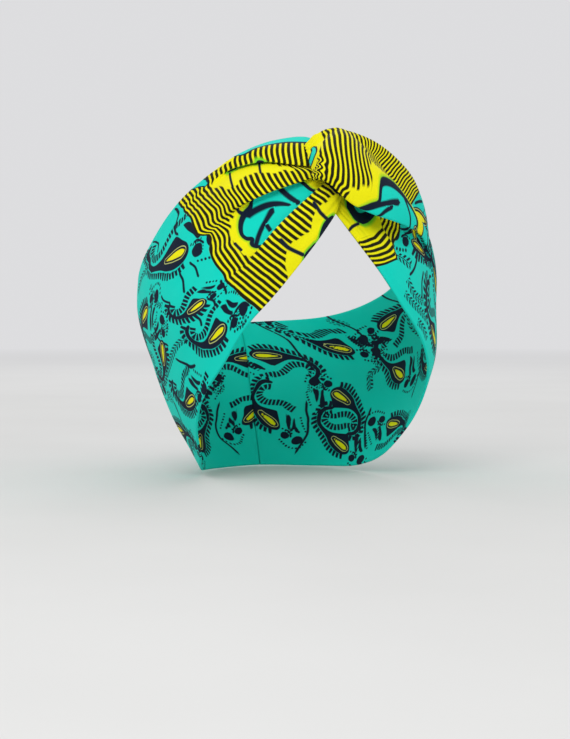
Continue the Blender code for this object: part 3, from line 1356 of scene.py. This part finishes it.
def right_band() -> Band:
    """The right band, which passes under the loop.

    Returns:
        The band, not built yet.
    """
    folds = (
        Fold("hem", (0.00, 0.00, 0.00, 0.00, 0.00, 0.00), (1.0, 1.0, 1.0, 1.5, 4.2, 3.6)),
        Fold("roll low", (0.12, 0.13, 0.13, 0.15, 0.15, 0.15), (1.0, 2.0, 3.5, 5.5, 7.4, 4.2)),
        Fold("roll high", (0.20, 0.21, 0.25, 0.29, 0.30, 0.28), (1.0, 2.8, 6.0, 8.5, 9.0, 4.6)),
        Fold("roll edge", (0.28, 0.26, 0.285, 0.33, 0.365, 0.36), (1.0, 2.6, 4.0, 5.8, 7.0, 4.6)),
        Fold("tuck", (0.36, 0.31, 0.25, 0.265, 0.33, 0.42), (1.0, 1.8, 1.8, 3.2, 4.8, 4.4)),
        Fold("floor", (0.44, 0.38, 0.32, 0.33, 0.37, 0.48), (1.0, 1.0, 1.0, 2.0, 4.0, 4.0)),
        Fold("valley", (0.52, 0.49, 0.45, 0.43, 0.42, 0.52), (1.0, 1.0, 1.0, 1.8, 3.8, 3.8)),
        Fold("second tuck", (0.585, 0.60, 0.605, 0.565, 0.49, 0.54), (1.0, 1.4, 1.8, 2.8, 4.0, 3.8)),
        Fold("second rim", (0.65, 0.65, 0.595, 0.535, 0.465, 0.56), (1.0, 2.4, 4.4, 5.8, 6.0, 3.8)),
        Fold("second crest", (0.75, 0.78, 0.73, 0.64, 0.50, 0.60), (1.0, 3.2, 5.6, 6.8, 6.4, 3.8)),
        Fold("top tuck", (0.83, 0.885, 0.88, 0.785, 0.565, 0.62), (1.0, 1.0, 1.8, 2.8, 3.6, 3.6)),
        Fold("top rim", (0.88, 0.915, 0.865, 0.75, 0.54, 0.66), (1.0, 1.8, 3.8, 5.2, 5.6, 3.6)),
        Fold("top crest", (0.94, 0.955, 0.93, 0.86, 0.78, 0.84), (1.0, 2.2, 4.4, 5.8, 5.8, 3.4)),
        Fold("top edge", (1.00, 1.00, 1.00, 1.00, 1.00, 1.00), (1.0, 1.0, 1.0, 1.2, 2.4, 3.2)),
    )
    loft = Loft(
        sections=SIDE_SECTIONS + (
            Section(1.00, 0.5, 82, 4, 124.6),
            Section(1.035, -3, 89.5, -4, 119),
            Section(1.07, -13, 93, -15, 115),
        ),
        stations=(0.64, 0.82, 0.89, 0.95, 1.00, 1.07),
        folds=folds,
        side=Side.RIGHT,
        columns=296,
        rows_per_fold=12,
    )
    chart = Chart(
        stripes=Stripes(
            counts=(5, 12, 20, 25),
            rows=(
                (0, 2.6, 24.3, 48.9, 64.3),
                (6, 5.3, 27, 51.5, 67),
                (10, 6.6, 28.4, 53.2, 68.9),
                (14, 8.3, 30.6, 55.1, 71),
                (18, 11, 33.8, 58.2, 73.9),
                (22, 14.1, 36.8, 61.2, 76.9),
                (26, 15.5, 37.6, 62.4, 78),
                (30, 15.6, 37.9, 62.5, 78.1),
                (34, 15.6, 37.9, 62, 77.6),
                (42, 15.6, 37.5, 60.5, 75.9),
                (46, 15.6, 37.2, 60.2, 75.8),
                (54, 15.8, 36.6, 59.5, 75.5),
                (58, 16, 36.6, 59.7, 74.6),
                (62, 16.4, 36.7, 56.7, 71.5),
                (66, 18.3, 38.4, 60.2, 70.6),
                (70, 20.2, 40.2, 62.7, 75.1),
                (74, 22.2, 41.9, 64.2, 79.6),
                (78, 22.8, 43.3, 63.6, 80.6),
                (82, 23.5, 45, 66, 80.5),
                (86, 24.4, 45.6, 68.1, 81.5),
                (90, 26.3, 47, 69.8, 82.5),
                (94, 27.2, 47.8, 71.7, 84.3),
                (98, 26.9, 48.4, 73.5, 86.8),
                (102, 25.8, 47.2, 72.1, 86.5),
                (106, 23, 43.6, 70, 84.5),
                (111, 18.8, 39.6, 67, 81.6),
            ),
        ),
        edges=(
            (0, 65.6), (5, 67.6), (10, 70.3), (14, 72.3), (18, 75), (22, 77.6), (26, 78.7), (30, 78.8),
            (34, 78.3), (40, 77), (46, 76.5), (54, 76.2), (58, 75.3), (61, 74), (64, 70.8), (66, 71),
            (70, 75.6), (73, 79.3), (76, 80.7), (82, 81.4), (88, 82.4), (94, 85.1), (98, 87.2),
            (102, 87.2), (106, 85.3), (111, 82.3),
        ),
        plains=(
            Patch(((-16, -6), (-12, 6), (-3, 13.5), (1, 15), (6, 16.6), (13, 17), (17, 15.5), (19, 13),
                   (20.5, 10), (22, 9.6), (25, 11.6), (30, 13.5), (36, 13.6), (39, 11.6), (41, 9.4),
                   (41.4, 4), (41.5, -6))),
            Patch(((17, 86.2), (22.2, 85.6), (28.4, 85.6), (33.7, 86.6), (37.9, 87.2), (41.8, 87),
                   (45.4, 85.6), (50.2, 84.4), (54.4, 85.4), (57.9, 88.5), (62.3, 92), (62.5, 97),
                   (58.4, 97.4), (54.4, 94), (49.6, 91.6), (40.6, 91.6), (32.3, 90.6), (25.5, 89.4),
                   (19.8, 88.4))),
            Patch(((44, 116), (45.5, 106.4), (50.7, 105), (54.2, 108.6), (55, 116))),
            Patch(((-4, 46), (0, 66), (19.8, 72), (39.8, 71), (43.8, 68), (48.8, 66.2), (53.8, 65.2),
                   (56.8, 63.4), (59.3, 61.5), (60.6, 58), (60.5, 53), (57, 48.5), (30, 44))),
        ),
        leaves=(
            Patch(((10, 52), (10.4, 57), (11.8, 62), (14, 66.5), (16.8, 71), (37.8, 71), (41.2, 67),
                   (43.2, 64.6), (47.8, 63.6), (51.7, 62), (54.2, 59.4), (53.4, 56.6), (51, 55),
                   (53, 53), (50.5, 49.6), (44, 46), (18, 44))),
        ),
        darks=(
            Patch(((2, -5), (3, 2), (6, 5), (9, 6.2), (12, 6.2), (15, 4), (17, 0), (17, -5))),
            Patch(((18, -5), (20, 0.6), (24, 1.8), (28, 2.2), (30, 0.5), (30.5, -5))),
            Patch(((31.3, 92), (31.8, 96), (32.3, 99.4), (35.7, 99.8), (37.1, 96), (36.8, 92))),
            Patch(((24.4, 93.6), (32.9, 92.9), (42.9, 93.1), (50.8, 92.7), (52.8, 94), (50.6, 96.4),
                   (26.2, 96.4))),
        ),
        teals=(
            Patch(((-4, 108), (5, 107.6), (14.3, 108.4), (24.3, 108), (31.4, 107.4), (36.7, 105.6),
                   (40.7, 105.2), (43.3, 108), (46, 118), (-4, 118))),
            Patch(((61, 118), (63.7, 108), (66.3, 103), (67.7, 99.6), (69.8, 98.8), (70.6, 102),
                   (70.5, 107), (71, 118))),
        ),
        paisleys=spots(
            (99.5, 76, 1.35, 9), (101, 38.6, 0.80, -3), (98, 13.5, 1.0, 0),
            (149, 77, 1.05, 26, True), (150, 47, 0.95, -30), (148, 10, 0.95, 10),
            (197, 88, 1.05, 160), (202, 56, 1.05, 20), (198, 22, 1.05, 190), (248, 92, 1.05, 10),
            (250, 56, 1.05, 200), (246, 20, 1.05, 20), (296, 84, 1.05, 170), (298, 40, 1.05, 30),
        ),
        drops=(),
        lines=(
            Line(((-10.6, 3), (-6, 11), (-2, 17), (2.4, 23)), 0.9),
            Line(((69.6, 7), (72.6, 11.4), (78, 11.8), (83, 9.6), (88, 7)), 0.8),
            Line(((15.6, 22), (11.4, 13), (8, 5)), 0.95),
            Line(((40.6, 20), (34, 9.6), (29, 1.4)), 0.95),
            Line(((33.9, 85.4), (34, 88.5), (34.3, 92.4)), 0.7),
            Line(((50.4, 83), (51, 88), (51.8, 92.6)), 0.7),
            Line(((20.4, 54), (21.8, 59.5), (25.8, 67)), 1.5),
            Line(((24.2, 57.2), (27.7, 60.5), (33.7, 62.4), (41.7, 63), (47.8, 62.8)), 1.0),
            Line(((46.8, 63), (49.8, 65.4), (50.4, 69))),
            Line(((32.7, 61), (40.8, 58), (47, 54.8), (52.4, 51)), 1.2),
            Line(((41, 52.4), (40.8, 56.8)), 1.2),
            Line(((60.2, 57.6), (59.2, 52.6)), 0.9),
            Line(((86, 110), (91.2, 100), (94.8, 92), (93.2, 84))),
            Line(((112, 110), (113.1, 102), (114, 94)), 0.75),
            Line(((87.8, 64), (86.6, 59), (88.5, 53)), 0.75),
            Line(((96.8, 65), (97.8, 59), (102, 52))),
            Line(((79, 41), (81, 33), (83.5, 25))),
            Line(((92, 37), (91, 32), (93, 27))),
            Line(((105, 36), (105.5, 31), (108, 27))),
            Line(((118, 66), (117, 60), (114, 55)), 0.75),
            Line(((139, 62), (143, 53), (139, 42))),
            Line(((126, 16), (134, 20), (140, 28), (142, 34))),
            Line(((122, 110), (126, 98), (124, 88)), 0.75),
            Line(((168, 110), (166, 98), (170, 86))),
            Line(((172, 66), (176, 54), (170, 42))),
            Line(((175, 30), (180, 18), (176, 4))),
            Line(((222, 112), (220, 98), (226, 84))),
            Line(((224, 70), (226, 54), (220, 40))),
            Line(((222, 28), (226, 14), (222, 2))),
            Line(((272, 112), (274, 92), (270, 70))),
            Line(((274, 50), (270, 30), (276, 8))),
        ),
        trims=(
            fern((122, 31), (132, 35), (146, 38), (168, 41)),
            fern((121, 60), (127, 70), (131, 84)),
            Trim(Edging.BLOCKS, ((118, 6), (128, 3.4), (138, 2.4), (150, 3.4)), 2.6),
            fern((128, 96), (140, 100), (156, 98)),
            fern((172, 80), (178, 92), (176, 106)),
            fern((170, 6), (182, 10), (190, 6)),
            fern((224, 44), (232, 34), (228, 22)),
            fern((226, 108), (236, 112), (250, 110)),
        ),
        blooms=spots(
            (78, 6.4, 5.6), (79, 66, 4.2), (130, 50, 4.6), (124, 106, 5.0), (170, 62, 5.2),
            (176, 34, 5.0), (222, 76, 5.4), (228, 8, 5.0), (272, 60, 5.4), (276, 100, 5.4),
        ),
    )
    return Band(
        name="right_band_cloth",
        node="right_band",
        loft=loft,
        chart=chart,
        creases=Creases(seed=11),
        knit=PrintedKnit(),
    )


def left_band() -> Band:
    """The left band, whose top part is the loop.

    Returns:
        The band, not built yet.
    """
    folds = (
        Fold("hem", (0.00, 0.00, 0.00, 0.00, 0.00, 0.00, 0.00, 0.00, 0.00),
             (1.0, 1.0, 1.0, 1.0, 1.0, 0.9, 0.9, 0.9, 0.9)),
        Fold("under low", (0.10, 0.11, 0.12, 0.10, 0.08, 0.10, 0.12, 0.12, 0.12),
             (1.0, 1.2, 1.8, 2.0, 1.6, 1.0, 0.9, 0.9, 0.9)),
        Fold("under high", (0.20, 0.23, 0.26, 0.22, 0.17, 0.22, 0.25, 0.25, 0.25),
             (1.0, 1.2, 1.8, 2.0, 1.4, 0.9, 0.9, 0.9, 0.9)),
        Fold("pocket", (0.30, 0.37, 0.43, 0.42, 0.375, 0.38, 0.40, 0.38, 0.38),
             (1.0, 1.0, 1.0, 1.2, 1.0, 0.9, 0.9, 0.9, 0.9)),
        Fold("pocket roof", (0.40, 0.46, 0.50, 0.47, 0.34, 0.16, 0.10, 0.06, 0.04),
             (1.0, 1.4, 2.2, 4.0, 8.0, 11.4, 12.0, 11.4, 9.2)),
        Fold("loop rim", (0.47, 0.49, 0.50, 0.425, 0.265, 0.06, 0.03, 0.02, 0.05),
             (1.0, 2.0, 4.2, 8.0, 11.6, 14.6, 15.6, 14.6, 9.6)),
        Fold("loop front", (0.53, 0.54, 0.55, 0.485, 0.36, 0.18, 0.17, 0.17, 0.18),
             (1.0, 2.6, 5.6, 10.2, 15.6, 19.8, 20.6, 17.6, 9.4)),
        Fold("loop crest", (0.58, 0.59, 0.59, 0.54, 0.52, 0.42, 0.42, 0.40, 0.38),
             (1.0, 2.4, 5.2, 9.4, 16.2, 21.8, 21.8, 17.8, 8.6)),
        Fold("loop back", (0.63, 0.63, 0.62, 0.57, 0.64, 0.66, 0.64, 0.62, 0.60),
             (1.0, 1.6, 3.6, 6.8, 12.4, 20.2, 16.4, 12.2, 7.8)),
        Fold("crease", (0.70, 0.68, 0.645, 0.63, 0.735, 0.82, 0.80, 0.79, 0.79),
             (1.0, 1.2, 2.2, 3.8, 9.6, 15.8, 9.6, 8.4, 7.4)),
        Fold("top crest", (0.86, 0.84, 0.82, 0.81, 0.87, 0.92, 0.92, 0.91, 0.91),
             (1.0, 3.6, 7.6, 12.0, 13.0, 11.0, 8.0, 8.0, 7.8)),
        Fold("top edge", (1.00, 1.00, 1.00, 1.00, 1.00, 1.00, 1.00, 1.00, 1.00),
             (1.0, 1.0, 1.4, 2.4, 3.8, 5.0, 6.6, 7.2, 7.4)),
    )
    loft = Loft(
        sections=SIDE_SECTIONS + (
            Section(1.00, 1.5, 81, 7.5, 124.8),
            Section(1.035, -3.6, 89.5, -2.6, 121.5),
            Section(1.06, -7.0, 93, -7.0, 117.5),
            Section(1.08, -8.8, 95, -9.2, 115.5),
        ),
        stations=(0.64, 0.73, 0.82, 0.89, 0.95, 1.00, 1.035, 1.06, 1.08),
        folds=folds,
        side=Side.LEFT,
        columns=350,
        rows_per_fold=12,
    )
    chart = Chart(
        stripes=Stripes(
            counts=(-6, 0, 4, 8, 12, 19, 26),
            rows=(
                (0, -28, -8, 5, 16.6, 28.6, 50, 72),
                (5, -25, -6, 7, 19.1, 31.4, 52, 74),
                (11, -22, -4, 9, 21.6, 34.6, 56, 78),
                (17, -19, -2, 12, 24.1, 37.8, 60, 82),
                (23, -17, 1, 15, 27.1, 41.4, 63, 86),
                (27, -16, 3, 17, 29, 43.6, 66, 88),
                (32, -15, 4, 19, 32.4, 43.5, 66, 88),
                (35, -15, 4, 19, 32.8, 44.1, 66, 88),
                (38, -16, 3, 18, 31.7, 43.2, 64, 86),
                (42, -17, 1, 16, 30.4, 41.4, 62, 84),
                (50, -17.4, -3, 10, 25, 37, 58, 78),
                (53, -17.8, -2.4, 10, 25, 36, 57, 78),
                (56.4, -18.2, -1.2, 11, 24, 36, 56, 77),
                (57.8, -18.8, 1.2, 12, 24, 36, 56, 77),
                (60, -19, 1.7, 13, 24, 36, 56, 77),
                (62, -17.6, 1.5, 13.4, 23, 35, 55, 76),
                (65, -16.6, 0.8, 11.2, 20, 31, 50, 70),
                (68, -15.4, 1.4, 11.8, 20, 28.6, 46, 62),
                (71, -14.2, 2.8, 14.4, 22.4, 30.1, 45, 60),
                (74, -13.4, 4.1, 16.8, 24.4, 30.8, 44, 58),
                (77, -12.4, 5.5, 19, 25, 30.4, 43.6, 57.6),
                (80, -11.2, 6.6, 19.6, 24.8, 29.5, 43.6, 58),
                (83, -10.6, 7, 19.6, 24.8, 30.2, 44.9, 58.6),
                (86, -10.2, 6.9, 19.2, 25.6, 31.2, 45, 59.2),
                (89, -9.8, 7.2, 18.6, 26, 32.4, 45.6, 59.6),
                (92, -9.4, 7.4, 18, 26.2, 33.2, 47.2, 62.2),
                (95, -9, 7.8, 17.9, 26.5, 33.8, 48.4, 64.4),
                (100, -7.6, 8.4, 18.4, 27.6, 35.6, 51, 67.6),
                (110, -6, 9.6, 20, 30, 38.6, 54.6, 71.6),
            ),
            ruffle_at=(-22.0, 60.0),
            ruffle=0.7,
            pleat=Patch(((22, 46), (24, 39), (28, 33), (34, 29.6), (40, 26.8), (45.4, 22.6), (56, 20),
                         (64, 30), (60, 46))),
            pleat_shift=4.6,
        ),
        edges=(
            (0, 32.6), (5, 35), (10, 37.4), (15, 40), (20, 43), (23, 45), (24.5, 44.4), (26, 41.6),
            (28, 40.4), (31, 42), (35, 43), (38, 42.2), (42, 40.4), (46, 44), (50, 57), (56, 62),
            (66, 62), (80, 61), (83, 61.4), (86, 62), (89, 63), (92, 64.6), (95, 67), (110, 74),
        ),
        plains=(
            Patch(((0.6, 50), (0.6, 57.6), (2.5, 58.8), (6, 59.8), (9.5, 60.2), (11.8, 60.8),
                   (12.6, 63), (13, 65.4), (16, 66.6), (20, 66.3), (25, 65.6), (34, 65), (46, 65.8),
                   (58, 67), (64, 61), (62, 55), (56, 50), (40, 48), (15, 49))),
            Patch(((-4, -4), (-3, 36), (10, 44), (22, 42), (26, 37), (27.5, 34), (29.6, 31), (27, 27),
                   (24, 22), (21.4, 17), (19.2, 12), (17.6, 8), (15.6, 2), (13.6, -4))),
            Patch(((-30, 62.8), (-20, 65), (-15.5, 68.5), (-11, 74), (-9, 84), (-6, 114), (-26, 114),
                   (-27, 80))),
        ),
        leaves=(
            Patch(((6, 49), (8, 53.5), (13, 56.5), (18, 58.5), (18.6, 62), (20.5, 63.6), (28, 64.3),
                   (38, 64), (46, 63), (51, 60.5), (52.5, 57.5), (51, 54.5), (48, 51), (45, 48),
                   (10, 47))),
            Patch(((9.5, 36), (9.8, 30), (12, 27), (15, 27), (19, 30.5), (22, 36), (22, 44), (9, 44))),
        ),
        darks=(
            Patch(((5.4, 38), (5.6, 30), (5.6, 25), (7, 21.4), (10, 19), (13, 19.2), (17, 22.6),
                   (21, 27), (24.2, 32), (25, 37), (24, 44), (5, 44))),
        ),
        teals=(
            Patch(((-29.5, 65.4), (-22, 66.8), (-17.9, 68.6), (-16.7, 73), (-17, 80), (-18.8, 80),
                   (-19.3, 73), (-22.8, 69.9), (-29.5, 68.2))),
        ),
        paisleys=spots(
            (62, 38.6, 0.92, 4), (98, 52, 1.05, 160), (104, 18, 1.0, 200, True),
            (100, 92, 1.05, 20), (145, 74, 1.05, 200), (146, 34, 1.05, 20), (190, 92, 1.05, 160),
            (194, 56, 1.05, 20), (188, 20, 1.05, 190), (236, 86, 1.05, 10), (240, 50, 1.05, 200),
            (236, 16, 1.05, 20), (284, 84, 1.05, 170), (286, 36, 1.05, 30),
        ),
        drops=spots((54, 48, 1.0, 100), (74, 83.6, 1.3, 3)),
        lines=(
            Line(((8.2, -1), (10.3, 8), (12.4, 14), (15.5, 21))),
            Line(((8, 53), (16, 57), (24, 59.4), (34, 61.2)), 0.9),
            Line(((18.5, 52.5), (23, 56.5), (28.5, 59.2))),
            Line(((37, 64), (41.5, 61.4), (44.4, 57.5), (44.6, 52)), 0.7),
            Line(((61, 34), (60, 26), (56.5, 20)), 0.8),
            Line(((70, 30), (70.5, 23), (74, 17)), 0.8),
            Line(((87, 28), (85, 21), (80, 14)), 0.8),
            Line(((66, 66), (72, 58), (70, 48))),
            Line(((63, 85), (67, 88.6), (72, 92)), 0.8),
            Line(((84, 40), (80, 34), (82, 28)), 0.8),
            Line(((74, 110), (78, 100), (76, 92))),
            Line(((122, 110), (120, 98), (126, 84))),
            Line(((120, 66), (124, 52), (118, 40))),
            Line(((168, 112), (170, 98), (164, 84))),
            Line(((168, 60), (164, 44), (170, 28))),
            Line(((214, 112), (216, 96), (212, 80))),
            Line(((214, 40), (218, 26), (212, 10))),
            Line(((262, 112), (264, 92), (260, 70))),
            Line(((264, 50), (260, 30), (266, 8))),
        ),
        trims=(
            fern((44, 24.6), (49, 25.2), (56.6, 25.4)),
            fern((56, 17), (63, 14), (70, 14.5), (77, 18)),
            fern((57, 8), (66, 8.5), (76, 11), (90, 15)),
            fern((76, 4), (84, 6), (93, 5)),
            fern((72, 62), (82, 66), (88, 74)),
            fern((120, 18), (130, 12), (140, 14)),
            fern((166, 68), (172, 78), (170, 88)),
            fern((212, 66), (222, 62), (218, 52)),
            fern((258, 108), (268, 112), (280, 108)),
        ),
        blooms=spots(
            (80, 84, 4.6), (122, 74, 5.2), (124, 28, 5.0), (168, 12, 5.0), (214, 72, 5.2),
            (216, 104, 5.0), (262, 60, 5.2),
        ),
    )
    return Band(
        name="left_band_cloth",
        node="left_band",
        loft=loft,
        chart=chart,
        creases=Creases(seed=23, pleat=chart.stripes.pleat),
        knit=PrintedKnit(),
        rests_on=("right_band_cloth",),
        fork_run=0.955,
    )


@dataclass(frozen=True)
class Lamp:
    """A soft area light, aimed at the middle of the headband."""

    name: str
    place: tuple[float, float, float]
    size: float
    power: float
    colour: tuple[float, float, float] = (1.0, 1.0, 1.0)

    def hang(self, aim: Vector) -> None:
        """Adds the light.

        Args:
            aim: the point that it is turned to.
        """
        light = bpy.data.lights.new(self.name, "AREA")
        light.size = self.size
        light.energy = self.power
        light.color = self.colour
        lamp = bpy.data.objects.new(self.name, light)
        lamp.location = self.place
        lamp.rotation_euler = (aim - Vector(self.place)).to_track_quat("-Z", "Y").to_euler()
        bpy.context.scene.collection.objects.link(lamp)


@dataclass(frozen=True)
class Studio:
    """Pale floor, soft lights and the camera."""

    azimuth: float = -17.0
    elevation: float = 2.0
    distance: float = 0.95
    lens: float = 81.2
    floor_size: float = 12.0
    floor_drop: float = 0.0006
    floor_fade: tuple[float, float] = (0.7, 3.4)
    sky_colour: tuple[float, ...] = rgba(232, 232, 234)
    sky_strength: float = 0.9
    lamps: tuple[Lamp, ...] = (
        Lamp("key", (-0.9, -1.5, 1.3), 1.0, 17.0),
        Lamp("fill", (1.5, -1.2, 0.6), 1.6, 3.0),
        Lamp("back", (0.4, 1.6, 1.4), 1.4, 8.0),
    )

    def floor(self) -> None:
        """Lays a wide pale floor just under the lowest hem."""
        material = bpy.data.materials.new("floor")
        nodes = Nodes(material)
        place = nodes.add("ShaderNodeTexCoord", {}, {}, out="Object")
        speckle = nodes.noise(place, 6.0, 3.0)
        x, y = nodes.parts(place)
        far = (x * x + y * y).root().step(*self.floor_fade)
        near_colour = nodes.blend(speckle, rgba(214, 214, 212), rgba(222, 222, 220))
        glow = tuple(part * self.sky_strength for part in self.sky_colour[:3]) + (1.0,)
        nodes.feed(nodes.shader.inputs["Base Color"], nodes.blend(far, near_colour, rgba(0, 0, 0)))
        nodes.feed(nodes.shader.inputs["Emission Color"], nodes.blend(far, rgba(0, 0, 0), glow))
        nodes.shader.inputs["Emission Strength"].default_value = 1.0
        nodes.shader.inputs["Specular IOR Level"].default_value = 0.0
        nodes.shader.inputs["Roughness"].default_value = 0.9
        mesh = bpy.data.meshes.new("floor")
        sheet = bmesh.new()
        bmesh.ops.create_grid(sheet, x_segments=8, y_segments=8, size=self.floor_size / 2)
        low = min(corner[2] for corner in CAD_BOX) - self.floor_drop
        bmesh.ops.translate(sheet, verts=sheet.verts, vec=(0.0, 0.0, low))
        sheet.to_mesh(mesh)
        sheet.free()
        mesh.materials.append(material)
        floor = bpy.data.objects.new("floor", mesh)
        bpy.context.scene.collection.objects.link(floor)

    def camera(self) -> None:
        """Sets the camera at the photograph's angle."""
        turn, rise = math.radians(self.azimuth), math.radians(self.elevation)
        back = Vector(
            (math.sin(turn) * math.cos(rise), -math.cos(turn) * math.cos(rise), math.sin(rise))
        )
        lens = bpy.data.cameras.new("camera")
        lens.lens = self.lens
        lens.sensor_width = 36.0
        lens.clip_start = 0.01
        camera = bpy.data.objects.new("camera", lens)
        camera.location = back * self.distance
        camera.rotation_euler = (-back).to_track_quat("-Z", "Y").to_euler()
        bpy.context.scene.collection.objects.link(camera)
        bpy.context.scene.camera = camera

    def sky(self) -> None:
        """An even pale light from all round."""
        world = bpy.data.worlds.new("sky")
        world.use_nodes = True
        background = world.node_tree.nodes["Background"]
        background.inputs["Color"].default_value = self.sky_colour
        background.inputs["Strength"].default_value = self.sky_strength
        bpy.context.scene.world = world
        bpy.context.scene.view_settings.view_transform = "Standard"

    def build(self) -> None:
        """Makes all of it."""
        self.floor()
        self.camera()
        self.sky()
        for lamp in self.lamps:
            lamp.hang(Vector((0.0, 0.0, 0.03)))


def main() -> None:
    """Builds the headband and its studio."""
    logging.basicConfig(level=logging.INFO)
    for band in (right_band(), left_band()):
        band.build()
    Studio().build()


if __name__ == "__main__":
    main()
